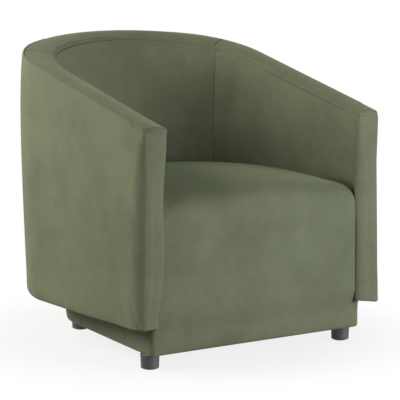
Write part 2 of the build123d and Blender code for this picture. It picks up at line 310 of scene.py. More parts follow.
# %% [markdown]
# The rear panel closes the shell between two upright seams. It hangs from the rim with an even spacing of
# its points, drawn together at the seams where the cloth bends most.

# %% Outside of the back
REAR_SEAM = 0.215

rear_station = station_where(outer_face, lambda p: p.x > -REAR_SEAM, 0.5)
rear_stations, rear_length = even_stations(outer_face, rear_station, 3 - rear_station)


def rear_place(u, v):
    share = eased(u)
    station = rear_stations(share)
    return hang(
        outer_face, station, eased(v), under_rim(outer_face, station, 0).z, EDGE_ROUND, 0.0,
        SHELL_BOTTOM, shell_roll(station), TURNED_UNDER, corner_bulge(station),
        min(share, 1 - share) * rear_length)


wall_rear = lay_panel("wall_cover_rear", 46, 64, rear_place)

# %% [markdown]
# Inside, the back pad meets the arm cloth in two upright seams that lean apart. Where they run is found
# once, at a row of heights, and read from that row afterwards, because searching for every point would be
# slow.

# %% Seams inside
SEAT_SIDE, SEAT_FRONT, SEAT_BACK = 0.3014, -0.3455, 0.2139
SEAT_CENTRE = SEAT_BACK - SEAT_SIDE
SEAM_SLOPE = tan(radians(47))
LOW_INSIDE, HIGH_INSIDE = 0.118, 0.80
HEIGHTS = 40


def inside_seam(z):
    return station_where(inner_face, lambda p: p.y - SEAT_CENTRE > -p.x * SEAM_SLOPE, z)


seam_stations = [inside_seam(mix(LOW_INSIDE, HIGH_INSIDE, i / HEIGHTS)) for i in range(HEIGHTS + 1)]


def seam_station(z):
    place = min(max((z - LOW_INSIDE) / (HIGH_INSIDE - LOW_INSIDE), 0), 0.9999) * HEIGHTS
    return mix(seam_stations[int(place)], seam_stations[int(place) + 1], place - int(place))


print("seam inside from station", round(seam_stations[0], 3), "up to", round(seam_stations[-1], 3))

# %% [markdown]
# The inside back is padded more deeply than the outside, and a little fuller in its middle. It ends under
# the rim strip, which comes down less along the back and at the arm fronts than along the arms. The pad
# runs down behind the seat, so no gap opens there.

# %% Inside of the back
STRIP_DEPTH, BACK_STRIP_DEPTH, WRAP_DEPTH = 0.015, 0.009, 0.0105
BACK_FULLNESS = 0.004
BACK_STATION_LENGTH = 0.8  # metres of cloth to one station, about


def strip_drop(station):
    """How far the rim strip comes down inside."""
    arm = from_arm_front(station)
    on_arm = mix(WRAP_DEPTH, STRIP_DEPTH, smooth(arm / 0.2))
    return mix(on_arm, BACK_STRIP_DEPTH, smooth((arm - 0.95) / 0.25))


def back_place(u, v):
    share = eased(u)
    z = MIDDLE_HEIGHT
    for step in range(4):
        first = seam_station(z)
        station = mix(first, 3 - first, share)
        top = under_rim(inner_face, station, strip_drop(station)).z
        z = mix(top, LOW_INSIDE, eased(v, 0.7))
    edge = min(share, 1 - share) * (3 - 2 * first) * BACK_STATION_LENGTH
    ahead = inner_face(station + NEARBY, z) - inner_face(station - NEARBY, z)
    full = BACK_FULLNESS * sin(pi * share) * smooth((z - 0.40) / 0.1)
    inward = full - tuck(edge) - tuck(top - z, SOFT_SEAM)
    return inner_face(station, z) + Vector((ahead.y, -ahead.x, 0)).normalized() * inward


inside_back = lay_panel("inside_pad_back", 58, 52, back_place)

# %% [markdown]
# Each arm is covered by one cloth: from the seam in the inside corner forward along the arm, round a soft
# arm front, and back along the outside to the rear seam. No seam shows on the arm front itself. The way
# round has five parts: inside, inner corner, facing, outer corner and outside.

# %% Cloth round an arm
CORNER_OUT, CORNER_IN, FACING = 0.042, 0.016, 0.034

side_start = station_where(outer_face, lambda p: p.y > SHELL_FRONT + CORNER_OUT, 0.5)
side_stations, side_length = even_stations(outer_face, side_start, rear_station)
inner_start = station_where(inner_face, lambda p: p.y > SHELL_FRONT + CORNER_IN, 0.5)
inner_length = even_stations(inner_face, inner_start, seam_station(0.55))[1]
arm_parts = (inner_length, CORNER_IN * pi / 2, FACING, CORNER_OUT * pi / 2, side_length)
arm_marks = [sum(arm_parts[:i]) for i in range(6)]


def arm_part(run):
    part = max(i for i in range(5) if run >= arm_marks[i] or i == 0)
    return part, (run - arm_marks[part]) / arm_parts[part]


def turned(t, depth, corner, broad):
    """Forward and then round a corner, broad across: how far aside and behind the front at a share t."""
    straight = depth - corner
    arc = (corner + broad) * pi / 4
    run = t * (straight + arc)
    if run < straight:
        return 0.0, depth - run
    turn = (run - straight) / arc * pi / 2
    return broad * (1 - cos(turn)), corner * (1 - sin(turn))


print("cloth round one arm", round(arm_marks[5], 3), "m")

# %% [markdown]
# The plan of an arm changes with height. At the top the corners are tight, because the strip has to fold
# over them. Below, the padding makes them broad. Beside the seat the inner side steps back to leave room,
# and low down the inner edge of the front may draw in.

# %% Plan of an arm
SEAT_LEVEL = 0.425
NECK_LOW, NECK_RISE = 0.44, 0.14
DRAW_TOP, DRAW_FALL = 0.262, 0.15
ROOM_TOP, ROOM_FALL = 0.150, 0.03
SEAT_CLEARANCE, PLINTH_ROOM = 0.0006, 0.009
BROAD_OUT = 0.019


def seat_half(y):
    """Half the seat's width: a half circle behind, and a little wider towards the front."""
    if y < SEAT_CENTRE:
        return SEAT_SIDE + (SEAT_CENTRE - y) ** 2 / 3.2
    return sqrt(max(1e-8, SEAT_SIDE ** 2 - (y - SEAT_CENTRE) ** 2))


def arm_plan(run, z, draw, lip):
    """Place on one arm's plan, from the seam inside round the front to the rear seam outside."""
    start, edge = inner_face(inner_start, z), outer_face(side_start, z)
    beside_seat = smooth((SEAT_LEVEL - z) / 0.03)
    neck = smooth((z - NECK_LOW) / NECK_RISE)
    corner_in = mix(CORNER_IN - 0.001, WRAP_DEPTH - 0.002, neck)
    broad_in = corner_in * mix(2.5, 1.0, neck)
    corner_out = mix(CORNER_OUT - 0.001, WRAP_DEPTH - 0.001, neck)
    broad_out = mix(BROAD_OUT, WRAP_DEPTH - 0.001, neck)
    front_x = start.x - draw * smooth((DRAW_TOP - z) / DRAW_FALL) + lip * beside_seat
    part, t = arm_part(run)
    if part == 0:
        place = inner_face(mix(seam_station(z), inner_start, t), z)
        room = seat_half(place.y) + SEAT_CLEARANCE + PLINTH_ROOM * smooth((ROOM_TOP - z) / ROOM_FALL)
        if place.y < 0:
            place.x = mix(place.x, min(place.x, -room), beside_seat)
        place.x = mix(front_x, place.x, smooth((place.y - start.y) / mix(0.06, 0.008, beside_seat)))
        return place
    if part == 1:
        aside, behind = turned(t, start.y - SHELL_FRONT, corner_in, broad_in)
        return Vector((front_x - aside, SHELL_FRONT + behind, z))
    if part == 2:
        x = mix(front_x - broad_in, edge.x + broad_out, t)
        return Vector((x, SHELL_FRONT - 0.0012 * sin(pi * t), z))
    if part == 3:
        aside, behind = turned(1 - t, edge.y - SHELL_FRONT, corner_out, broad_out)
        return Vector((edge.x + aside, SHELL_FRONT + behind, z))
    return outer_face(side_stations(t) if t <= 1 else rear_station + (t - 1) * 0.5, z)


print("seat is", round(2 * seat_half(SEAT_FRONT), 3), "m wide at the front")

# %% [markdown]
# At the arm front the rim strip folds over the wall's outer edge and rolls down to the facing. The arm
# cloth ends where the strip begins, so both read that edge from the same three functions. Two separate
# curves would leave slits between the pieces.

# %% Edge between arm and strip
END_ROLL = 0.012
END_START = SHELL_FRONT + END_ROLL
END_LOW = rim_height(END_START) - END_ROLL


def end_top(y, depth):
    """Height of the strip's lower edge round the arm's front end, where it covers the side by depth."""
    past, reach = END_START - y, END_ROLL - depth
    if past >= reach:
        return END_LOW
    if past > 0:
        return END_LOW + sqrt(reach ** 2 - past ** 2)
    return rim_height(y) - depth * RIM_STEEP


def wrap_share(y):
    """How far the rim strip folds down over the wall's outer edge, 0 on the arm, 1 at its front."""
    return 1 - smooth((y - SHELL_FRONT - CORNER_OUT - 0.002) / 0.026)


def wrap_edge(wrap):
    """Radius and depth of the wall's outer edge, and the length of the rounding."""
    brow, depth = mix(EDGE_ROUND, WRAP_DEPTH - 0.001, wrap), mix(EDGE_ROUND, WRAP_DEPTH, wrap)
    return brow, depth, brow * pi / 2 + depth - brow


print("facing begins at", round(END_LOW, 4), "m")

# %% [markdown]
# Now each point of the arm cloth can be hung. Every part of the way round has its own upper edge, lower
# edge and fullness. A short dart closes the outer corner underneath, as a sewer would take up spare cloth
# there.

# %% Points of the arm cloth
HEM = 0.004
INSIDE_FULLNESS = 0.004
DART_DEPTH = 0.0018
SEAM_SHADOW = 0.0005


def arm_point(run, v, draw, lip, sag):
    part, t = arm_part(run)
    brow, bottom, roll, under = EDGE_ROUND, SHELL_BOTTOM, HEM, HEM
    skip = brow * pi / 2
    bulge = lambda share: 0.0
    edge = 1.0
    plan = lambda along, z: arm_plan(along, z, draw, lip)
    flat = plan(run, END_LOW)
    if part == 0:
        z = MIDDLE_HEIGHT
        for step in range(4):
            station = mix(seam_station(z), inner_start, t)
            z = under_rim(inner_face, station, strip_drop(station)).z
        ridge = brow + z
        fold = smooth((t - 0.9) / 0.1)
        bottom, roll, under = mix(LOW_INSIDE, SHELL_BOTTOM, fold), mix(0.003, HEM, fold), mix(0.002, HEM, fold)
        bulge = lambda share: INSIDE_FULLNESS * sin(pi * t) * (1 - smooth((share - 0.2) / 0.3))
        edge = run
    elif part == 1:
        ridge = brow + end_top(flat.y, WRAP_DEPTH)
        bottom -= sag * 0.5 * (1 - cos(t * pi / 2))
    elif part == 2:
        ridge = brow + END_LOW
        bottom -= sag * mix(0.5, 1.0, t)
    elif part == 3:
        ridge = brow + end_top(flat.y, WRAP_DEPTH)
        bottom -= sag
        dart = DART_DEPTH * exp(-((t - 0.5) / 0.08) ** 2)
        side_bulge = corner_bulge(side_start)
        bulge = lambda share: side_bulge(share) * smooth(t * 1.5) - dart * smooth((share - 0.94) / 0.04)
    else:
        station = side_stations(t)
        rim = under_rim(outer_face, station, 0)
        ridge = rim.z
        bottom -= sag * (1 - smooth(t / 0.2))
        brow, depth, length = wrap_edge(wrap_share(rim.y))
        skip = wrap_share(rim.y) * length
        roll, under = shell_roll(station), mix(HEM, TURNED_UNDER, smooth(t / 0.2))
        bulge = corner_bulge(station)
        edge = arm_marks[5] - run
    return hang(plan, run, v, ridge + SEAM_SHADOW, brow, skip, bottom, roll, under, bulge, edge)


print("hem under the arm", HEM * 1000, "mm")

# %% [markdown]
# Both arms are laid by the same function, mirrored by a sign. On this chair they aren't twins: the right
# arm's front draws in low down, and the left arm's front hangs a little lower and closes to the seat.

# %% Arms
ARM_SHARES = (0.31, 0.40, 0.46, 0.56, 1.0)


def arm_panel(name, side, draw, lip, sag):
    def place(u, v):
        first = 0.0
        for part, last in enumerate(ARM_SHARES):
            if u <= last or part == 4:
                t = (u - first) / (last - first)
                if part in (0, 4):
                    t = eased(t)
                point = arm_point(arm_marks[part] + t * arm_parts[part], eased(v), draw, lip, sag)
                return Vector((point.x * side, point.y, point.z))
            first = last

    return lay_panel(name, 150, 64, place)


arm_right = arm_panel("arm_cover_right", side=1, draw=0.017, lip=0.0, sag=0.0)
arm_left = arm_panel("arm_cover_left", side=-1, draw=0.0, lip=0.002, sag=0.009)

# %% [markdown]
# The rim strip caps the wall. Across, it starts at the seam on the outer edge, rises to a slight crown and
# turns down over a soft inner edge. Sweeping a fixed profile wouldn't do, because the wall's width and
# both edges change along the rim, so the section is worked out by length at each place.

# %% Section of the rim strip
STRIP_CROWN = 0.0035


def strip_section(width, outer_depth, outer_round, inner_depth, inner_round, skip, v):
    """Across and height of a point on the strip's section, at a share v of its length."""
    side, inner_side = outer_depth - outer_round, max(0.001, inner_depth - inner_round)
    top = width - outer_round - inner_round
    length = side + outer_round * pi / 2 + top + inner_round * pi / 2 + inner_side
    run = skip + v * (length - skip)
    dive = tuck(run - skip)
    if run < side:
        return dive, run - outer_depth
    run -= side
    if run < outer_round * pi / 2:
        turn = run / outer_round
        return outer_round * (1 - cos(turn)) + dive * cos(turn), outer_round * (sin(turn) - 1) - dive * sin(turn)
    run -= outer_round * pi / 2
    if run < top:
        return outer_round + run, STRIP_CROWN * sin(pi * run / top) - dive
    run -= top
    if run < inner_round * pi / 2:
        turn = run / inner_round
        return width - inner_round * (1 - sin(turn)), inner_round * (cos(turn) - 1)
    run -= inner_round * pi / 2
    return width - tuck(inner_side - run, SOFT_SEAM), -inner_round - run


print("strip's crown", STRIP_CROWN * 1000, "mm")

# %% [markdown]
# Along the rim the strip follows the slope. At each arm front it rolls forward and down to the facing, and
# three small pleats take up the cloth at the outer side of that roll.

# %% Points of the rim strip
PLEATS = (0.005, 0.010, 0.015)
PLEAT_DEPTH, PLEAT_WIDTH = 0.0018, 0.0012


def strip_point(station, roll, v, edge):
    outer, inner = under_rim(outer_face, station, 0), under_rim(inner_face, station, 0)
    width = (outer - inner).length
    wrap = wrap_share(outer.y)
    outer_round, outer_depth, length = wrap_edge(wrap)
    skip = (1 - wrap) * length
    drop = strip_drop(station)
    across, height = strip_section(width, outer_depth, outer_round, drop, drop - 0.002, skip, v)
    height -= tuck(edge)
    share = across / width
    if roll == 0:
        return under_rim(outer_face, station, -height).lerp(under_rim(inner_face, station, -height), share)
    for fold in PLEATS:
        height -= PLEAT_DEPTH * exp(-((roll - fold) / PLEAT_WIDTH) ** 2) * (1 - smooth((share - 0.45) / 0.5))
    place = outer.lerp(inner, share)
    reach = END_ROLL + height
    turn = roll / END_ROLL
    return Vector((place.x, place.y - reach * sin(turn), place.z - END_ROLL + reach * cos(turn)))


print(len(PLEATS), "pleats at each strip end")

# %% [markdown]
# The strip is sewn from three lengths. Their cross seams stand above the seams of the inside back. An arm's
# length also has the rolled front end, which takes its own columns, so the pleats are fine enough.

# %% Rim strip
def strip_panel(name, first, last, columns, end_columns):
    """A strip between two stations, None for an arm's front end."""
    roll_station = station_where(outer_face, lambda p: p.y > END_START, MIDDLE_HEIGHT)
    station, body = even_stations(
        outer_face, roll_station if first is None else first, 3 - roll_station if last is None else last)
    roll = END_ROLL * pi / 2

    def place(u, v):
        column = u * columns
        if first is None and column < end_columns:
            past = 1 - column / end_columns
            return strip_point(station(0), roll * past, eased(v, 0.6), roll * (1 - past))
        if last is None and column > columns - end_columns:
            past = 1 - (columns - column) / end_columns
            return strip_point(station(1), roll * past, eased(v, 0.6), roll * (1 - past))
        start = end_columns if first is None else 0
        stop = columns - end_columns if last is None else columns
        share = (column - start) / (stop - start)
        from_first = share * body if first is not None else 1.0
        from_last = (1 - share) * body if last is not None else 1.0
        return strip_point(station(eased(share)), 0, eased(v, 0.6), min(from_first, from_last))

    return lay_panel(name, columns, 26, place)


strip_seam = seam_station(0.72)
strip_right = strip_panel("rim_cover_right", None, strip_seam, 110, 22)
strip_back = strip_panel("rim_cover_back", strip_seam, 3 - strip_seam, 72, 0)
strip_left = strip_panel("rim_cover_left", 3 - strip_seam, None, 110, 22)

# %% [markdown]
# The seat is tight: foam on webbing under one cover. Its top is crowned and turns down all round, so a dark
# crease shows against the wall. The padded front panel is fullest at the seat and falls back to the
# plinth's face below.

# %% Forms of the seat
SEAT_CROWN, CROWN_RADIUS, CROWN_Y = 0.447, 2.2, -0.0658
SIDE_ROUND, FRONT_ROUND = 0.034, 0.042
FRONT_SWELL = 0.012


def quarter(distance, radius):
    """Drop of a quarter-round edge at a distance in from it."""
    near = min(max(distance, 0.0), radius)
    return radius - sqrt(max(0.0, radius ** 2 - (radius - near) ** 2))


def seat_top(x, y):
    return SEAT_CROWN - (x * x + (y - CROWN_Y) ** 2) / (2 * CROWN_RADIUS)


def seat_inside(x, y):
    """How far a place lies in from the seat's outline."""
    if y < SEAT_CENTRE:
        return seat_half(y) - abs(x)
    return SEAT_SIDE - sqrt(x * x + (y - SEAT_CENTRE) ** 2)


def seat_swell(z):
    return FRONT_SWELL * smooth((z - 0.085) / 0.06)


print("seat's crown", round(seat_top(0, CROWN_Y), 3), "m")

# %% [markdown]
# The cover is one piece of cloth from the hem under the plinth's front, up the panel, over the brow and
# back across the top. Two separate cloths would show a seam at the brow, and the real chair has none. So
# one grid is laid by length over four parts, and it spreads to the plinth's width at the bottom.

# %% Front of the seat cover
PLINTH_SIDE, PLINTH_BOTTOM = 0.330, 0.038
SEAT_HEM, SEAT_TUCKED = 0.006, 0.02
PANEL_EDGE, PLINTH_EDGE = 0.007, 0.016


def seat_hem(across, run):
    turn = min(pi / 2, max(0.0, (run - SEAT_TUCKED) / SEAT_HEM))
    x = across * PLINTH_SIDE
    y = SEAT_FRONT + SEAT_HEM * (1 - sin(turn)) + max(0.0, SEAT_TUCKED - run)
    z = PLINTH_BOTTOM + SEAT_HEM * (1 - cos(turn))
    return Vector((x, y + quarter(PLINTH_SIDE - abs(x), PLINTH_EDGE), z))


def seat_panel(across, lift):
    low = PLINTH_BOTTOM + SEAT_HEM
    flare = smooth((0.140 - low - lift * 0.30) / 0.05)
    front_half = seat_half(SEAT_FRONT)
    half = mix(front_half, PLINTH_SIDE, flare)
    x = across * half
    side_drop = quarter(front_half - min(front_half, abs(x)), SIDE_ROUND)
    z = mix(low, seat_top(x, SEAT_FRONT + FRONT_ROUND) - side_drop - FRONT_ROUND, lift)
    edge = quarter(half - abs(x), mix(PANEL_EDGE, PLINTH_EDGE, flare))
    return Vector((x, SEAT_FRONT - seat_swell(z) + edge, z))


def seat_brow(across, turn):
    half = mix(seat_half(SEAT_FRONT), seat_half(SEAT_FRONT + FRONT_ROUND), 1 - cos(turn))
    x = across * half
    y = SEAT_FRONT - FRONT_SWELL + (FRONT_ROUND + FRONT_SWELL) * (1 - cos(turn))
    base = seat_top(x, SEAT_FRONT + FRONT_ROUND) - quarter(half - abs(x), SIDE_ROUND)
    edge = quarter(half - abs(x), PANEL_EDGE) * cos(turn)
    return Vector((x, y + edge, base - FRONT_ROUND * (1 - sin(turn))))


print("brow's radius", FRONT_ROUND * 1000, "mm")

# %% [markdown]
# The four parts are now joined by length. Columns are drawn together towards the sides, where the cloth
# bends most, and rows towards the back, where the top turns down to the wall.

# %% Seat cover
FRONT_RISE = 0.36


def seat_place(u, v):
    across = 2 * u - 1
    across = mix(across, sin(across * pi / 2), 0.55)
    hem = SEAT_TUCKED + SEAT_HEM * pi / 2
    arc = FRONT_ROUND * pi / 2
    depth = SEAT_BACK - SEAT_FRONT - FRONT_ROUND
    run = v * (hem + FRONT_RISE + arc + depth)
    if run < hem:
        return seat_hem(across, run)
    run -= hem
    if run < FRONT_RISE:
        return seat_panel(across, run / FRONT_RISE)
    run -= FRONT_RISE
    if run < arc:
        return seat_brow(across, run / FRONT_ROUND)
    share = (run - arc) / depth
    y = mix(SEAT_FRONT + FRONT_ROUND, SEAT_BACK, 1 - max(0.0, 1 - share) ** 1.35)
    x = across * seat_half(y)
    return Vector((x, y, seat_top(x, y) - quarter(seat_inside(x, y), SIDE_ROUND)))


seat_cover = lay_panel("seat_pad", 76, 120, seat_place)

# %% [markdown]
# Under the shell stands a plinth that closes in towards its round-cornered back, wrapped in the same
# velvet. Its plan is walked as one path, so that the cloth runs round the corners without a break. In
# front the wrap turns in behind the seat's panel.

# %% Path round the plinth
PLINTH_TAPER = radians(9.9)
PLINTH_CORNER, PLINTH_BACK, PLINTH_FRONT = 0.160, 0.2665, -0.3395
PLINTH_TURN_IN = ((0.308, -0.3390), (0.321, -0.3375), (0.3280, -0.3310))


def plinth_path():
    side_y = PLINTH_BACK - PLINTH_CORNER + PLINTH_CORNER * sin(PLINTH_TAPER)
    start = Vector((PLINTH_SIDE - tan(PLINTH_TAPER) * (side_y - PLINTH_FRONT), side_y, 0))
    centre = Vector((start.x - PLINTH_CORNER * cos(PLINTH_TAPER), PLINTH_BACK - PLINTH_CORNER, 0))
    points = [Vector((x, y, 0)) for x, y in PLINTH_TURN_IN] + [start]
    for step in range(1, 17):
        turn = mix(PLINTH_TAPER, pi / 2, step / 16)
        points.append(centre + PLINTH_CORNER * Vector((cos(turn), sin(turn), 0)))
    return [Vector((-p.x, p.y, 0)) for p in points] + [p for p in reversed(points)]


plinth_points = plinth_path()
plinth_runs = [0.0]
for a, b in zip(plinth_points, plinth_points[1:]):
    plinth_runs.append(plinth_runs[-1] + (b - a).length)
print("plinth is", round(plinth_runs[-1], 3), "m round")

# %% [markdown]
# The wrap runs down from under the shell, a little full in its middle, and turns in at the bottom round a
# small hem. It is laid outwards from the path, so it bends with the corners.

# %% Plinth
PLINTH_TOP = 0.116
PLINTH_HEM = 0.007


def plinth_place(u, v):
    run = u * plinth_runs[-1]
    index = max(i for i in range(len(plinth_runs) - 1) if plinth_runs[i] <= run + 1e-9)
    a, b = plinth_points[index], plinth_points[index + 1]
    place = a.lerp(b, (run - plinth_runs[index]) / (b - a).length)
    along = (b - a).normalized()
    outward = Vector((-along.y, along.x, 0))
    straight = PLINTH_TOP - PLINTH_BOTTOM - PLINTH_HEM
    down = v * (straight + PLINTH_HEM * pi / 2 + 0.01)
    turn = min(pi / 2, max(0.0, (down - straight) / PLINTH_HEM))
    inward = PLINTH_HEM * (1 - cos(turn)) + max(0.0, down - straight - PLINTH_HEM * pi / 2)
    fullness = 0.004 + 0.003 * sin(pi * min(1, down / straight))
    place = place - outward * (inward - fullness * smooth((place.y - SEAT_FRONT) / 0.1))
    place.z = PLINTH_TOP - down if down < straight else PLINTH_BOTTOM + PLINTH_HEM * (1 - sin(turn))
    return place


plinth_cover = lay_panel("plinth_wrap", 120, 14, plinth_place)

# %% [markdown]
# Below, a thin black cloth closes the plinth against dust. It is stapled round its edge and sags a few
# millimetres. It is a plain sheet, so a grid in the plinth's own plan is enough.

# %% Dust sheet
DUST_FRONT, DUST_BACK, DUST_HEIGHT = -0.3305, 0.2565, 0.0388
DUST_INSET, DUST_CORNER, DUST_SAG = 0.010, 0.150, 0.003


def dust_place(u, v):
    y = mix(DUST_FRONT, DUST_BACK, v)
    half = PLINTH_SIDE - DUST_INSET - tan(PLINTH_TAPER) * (y - PLINTH_FRONT)
    past = max(0.0, y - (DUST_BACK - DUST_CORNER))
    half -= DUST_CORNER - sqrt(max(0.0, DUST_CORNER ** 2 - past ** 2))
    x = (2 * u - 1) * half
    sag = DUST_SAG * (1 - (2 * u - 1) ** 2) * (1 - (2 * v - 1) ** 2)
    return Vector((x, y, DUST_HEIGHT - sag))


dust_sheet = lay_panel("dust_sheet", 40, 40, dust_place)

# %% [markdown]
# A material in Blender is a tree of nodes. Wiring them one by one is hard to read, so one class makes any
# node, and another wraps a socket so that Python's own operators add the Math nodes.

# %% Wires and nodes
class Wire:
    """A value in a node tree, which Python's operators turn into Math nodes."""

    def __init__(self, wiring, socket):
        self.wiring, self.socket = wiring, socket

    def _math(self, operation, a, b):
        return self.wiring.node("ShaderNodeMath", {"operation": operation}, sockets=(a, b))

    def __add__(self, other):
        return self._math("ADD", self, other)

    __radd__ = __add__

    def __mul__(self, other):
        return self._math("MULTIPLY", self, other)

    __rmul__ = __mul__


class Wiring:
    """A node tree, with one method for any node."""

    def __init__(self, tree):
        self.tree = tree

    def plug(self, value, slot):
        if isinstance(value, Wire):
            self.tree.links.new(value.socket, slot)
        else:
            slot.default_value = value

    def node(self, kind, settings=None, out=0, sockets=(), **values):
        """Settings come first, then the sockets, by their place or by their name."""
        made = self.tree.nodes.new(kind)
        for key, value in (settings or {}).items():
            if key == "stops":
                for stop, (position, colour) in zip(made.color_ramp.elements, value):
                    stop.position, stop.color = position, colour
            else:
                setattr(made, key, value)
        for place, value in enumerate(sockets):
            self.plug(value, made.inputs[place])
        for key, value in values.items():
            self.plug(value, made.inputs[key.replace("_", " ")])
        return Wire(self, made.outputs[out])


# %% [markdown]
# A finish is one material with the Principled shader. Patterns read Object coordinates, so that they keep
# their real scale on every piece, and noise goes through a ramp of two colours.

# %% Finish
class Finish(Wiring):
    """One material and its node tree."""

    def __init__(self, name):
        self.material = bpy.data.materials.new(name)
        self.material.use_nodes = True
        super().__init__(self.material.node_tree)
        self.shader = self.tree.nodes["Principled BSDF"]

    def set(self, **values):
        for key, value in values.items():
            self.plug(value, self.shader.inputs[key.replace("_", " ")])

    def object_place(self, stretch=None):
        place = self.node("ShaderNodeTexCoord", out="Object")
        return self.node("ShaderNodeMapping", Vector=place, Scale=stretch) if stretch else place

    def noise(self, scale, detail, stretch=None):
        return self.node("ShaderNodeTexNoise", Vector=self.object_place(stretch), Scale=scale, Detail=detail)

    def ramp(self, share, dark, light, start=0.35, end=0.65):
        stops = ((start, (*dark, 1)), (end, (*light, 1)))
        return self.node("ShaderNodeValToRGB", {"stops": stops}, Fac=share)

    def bump(self, height, strength, distance=0.0006):
        return self.node("ShaderNodeBump", Height=height, Strength=strength, Distance=distance)


# %% [markdown]
# Velvet is short pile. Seen straight on it is deep in colour, and seen along the surface the fibre tips
# catch light. The shader's sheen gives that. Slow noise stands for places where the pile lies another
# way, and fine noise for the pile itself.

# %% Velvet
velvet = Finish("olive_velvet")
lie = velvet.noise(7.0, 3.0)
patch = velvet.noise(38.0, 2.0)
pile = velvet.noise(900.0, 2.0)
tone = lie * 0.6 + patch * 0.25 + pile * 0.15
velvet.set(
    Base_Color=velvet.ramp(tone, (0.083, 0.094, 0.060), (0.119, 0.133, 0.085), 0.30, 0.70),
    Roughness=0.78 + 0.12 * patch,
    Normal=velvet.bump(pile * 0.6 + patch * 1.5, 0.35, 0.0008),
    Sheen_Weight=0.10, Sheen_Roughness=0.4, Sheen_Tint=(0.86, 1.0, 0.62, 1), Specular_IOR_Level=0.06)
print("velvet", len(velvet.tree.nodes), "nodes")

# %% [markdown]
# The feet are turned wood under black lacquer: nearly black, half glossy, with a faint upright grain. The
# stretched mapping draws the noise out along the height.

# %% Black lacquer
lacquer = Finish("black_lacquer")
grain = lacquer.noise(60.0, 4.0, (1.0, 1.0, 0.12))
lacquer.set(
    Base_Color=lacquer.ramp(grain, (0.022, 0.023, 0.025), (0.038, 0.039, 0.042)),
    Roughness=0.42 + 0.16 * grain,
    Normal=lacquer.bump(grain, 0.15))
print("lacquer", len(lacquer.tree.nodes), "nodes")

# %% [markdown]
# What is hidden inside needs only plain finishes: two colours, a scale of figure, a roughness, and a
# stretch where the material has a grain.

# %% Timber, foam, webbing and the rest
def plain_finish(name, dark, light, scale, rough, stretch=(1.0, 1.0, 1.0), metal=0.0):
    finish = Finish(name)
    figure = finish.noise(scale, 4.0, stretch)
    finish.set(
        Base_Color=finish.ramp(figure, dark, light),
        Roughness=rough + 0.15 * figure,
        Normal=finish.bump(figure, 0.2),
        Metallic=metal)
    return finish


def grey(level):
    return (level, level, level)


finishes = {
    "foot": lacquer,
    "timber": plain_finish("frame_timber", (0.40, 0.28, 0.16), (0.58, 0.43, 0.27), 60.0, 0.6, (1.0, 1.0, 0.1)),
    "plywood": plain_finish("birch_plywood", (0.50, 0.37, 0.22), (0.66, 0.51, 0.34), 40.0, 0.6, (0.2, 1.0, 1.0)),
    "foam": plain_finish("seat_foam", (0.70, 0.64, 0.46), (0.82, 0.76, 0.58), 300.0, 0.8),
    "webbing": plain_finish("elastic_webbing", grey(0.025), grey(0.07), 500.0, 0.75),
    "dust_cloth": plain_finish("black_dust_cloth", grey(0.014), grey(0.03), 700.0, 0.85),
    "glide": plain_finish("glide_plastic", grey(0.03), grey(0.05), 200.0, 0.5),
    "steel": plain_finish("plated_steel", grey(0.5), (0.66, 0.66, 0.65), 120.0, 0.3, (1.0, 1.0, 0.1), 1.0),
}
print(len(finishes) + 1, "finishes")

# %% [markdown]
# The nodes of the solid model that stay visible, such as the feet, get their finish by their slot.

# %% Finish the solid model
slot_of = {row["node"]: row["material_slot"] for row in frame["record"]["subparts"]}
for name, node in frame["nodes"].items():
    node.data.materials.clear()
    node.data.materials.append(finishes.get(slot_of[name], velvet).material)
print(len(slot_of), "nodes finished")

# %% [markdown]
# A grid may come out facing either way, depending on the form that it was laid on. The simulation and the
# cloth's thickness need its outside, so each panel is turned towards a point from which it is seen.

# %% Turn the panels outwards
def face_out(piece, point):
    bm = bmesh.new()
    bm.from_mesh(piece.data)
    bm.faces.ensure_lookup_table()
    near = min(bm.faces, key=lambda f: (f.calc_center_median() - Vector(point)).length)
    near.normal_update()
    if near.normal.dot(Vector(point) - near.calc_center_median()) < 0:
        bmesh.ops.reverse_faces(bm, faces=bm.faces)
        print(piece.name, "turned")
    bm.to_mesh(piece.data)
    bm.free()


for piece, seen_from in (
    (arm_right, (-2, 0, 0.5)), (arm_left, (2, 0, 0.5)), (wall_rear, (0, 2, 0.5)), (inside_back, (0, -0.1, 0.6)),
    (strip_right, (-0.34, -0.2, 3)), (strip_left, (0.34, -0.2, 3)), (strip_back, (0, 0.33, 3)),
    (seat_cover, (0, -0.1, 3)), (plinth_cover, (0, 3, 0.08)), (dust_sheet, (0, 0, -3)),
):
    face_out(piece, seen_from)

# %% [markdown]
# Padding presses the cloth outwards between its seams. Air pressure in a cloth simulation does the same:
# the sewn edges are held, twenty frames are run, and how far a point may move is capped, so that the chair
# keeps its size. The result goes into the mesh, and no simulation is left on the piece.

# %% Plump the padding
FRAMES = 20


def blow_up(piece, held):
    """The move of each point after a short run of the cloth simulation."""
    sewn = piece.vertex_groups.new(name="sewn_edge")
    sewn.add(held, 1.0, "REPLACE")
    cloth = piece.modifiers.new("plump", "CLOTH")
    cloth.settings.vertex_group_mass = "sewn_edge"
    cloth.settings.use_pressure = True
    cloth.settings.uniform_pressure_force = 4.0
    cloth.settings.tension_stiffness = cloth.settings.compression_stiffness = 40.0
    cloth.settings.bending_stiffness = 2.0
    cloth.settings.effector_weights.gravity = 0.0
    cloth.collision_settings.use_collision = False
    cloth.point_cache.frame_start, cloth.point_cache.frame_end = 1, FRAMES
    for number in range(1, FRAMES + 1):
        bpy.context.scene.frame_set(number)
    blown = piece.evaluated_get(bpy.context.evaluated_depsgraph_get()).data
    moves = [after.co - before.co for after, before in zip(blown.vertices, piece.data.vertices)]
    piece.modifiers.remove(cloth)
    piece.vertex_groups.clear()
    bpy.context.scene.frame_set(1)
    return moves


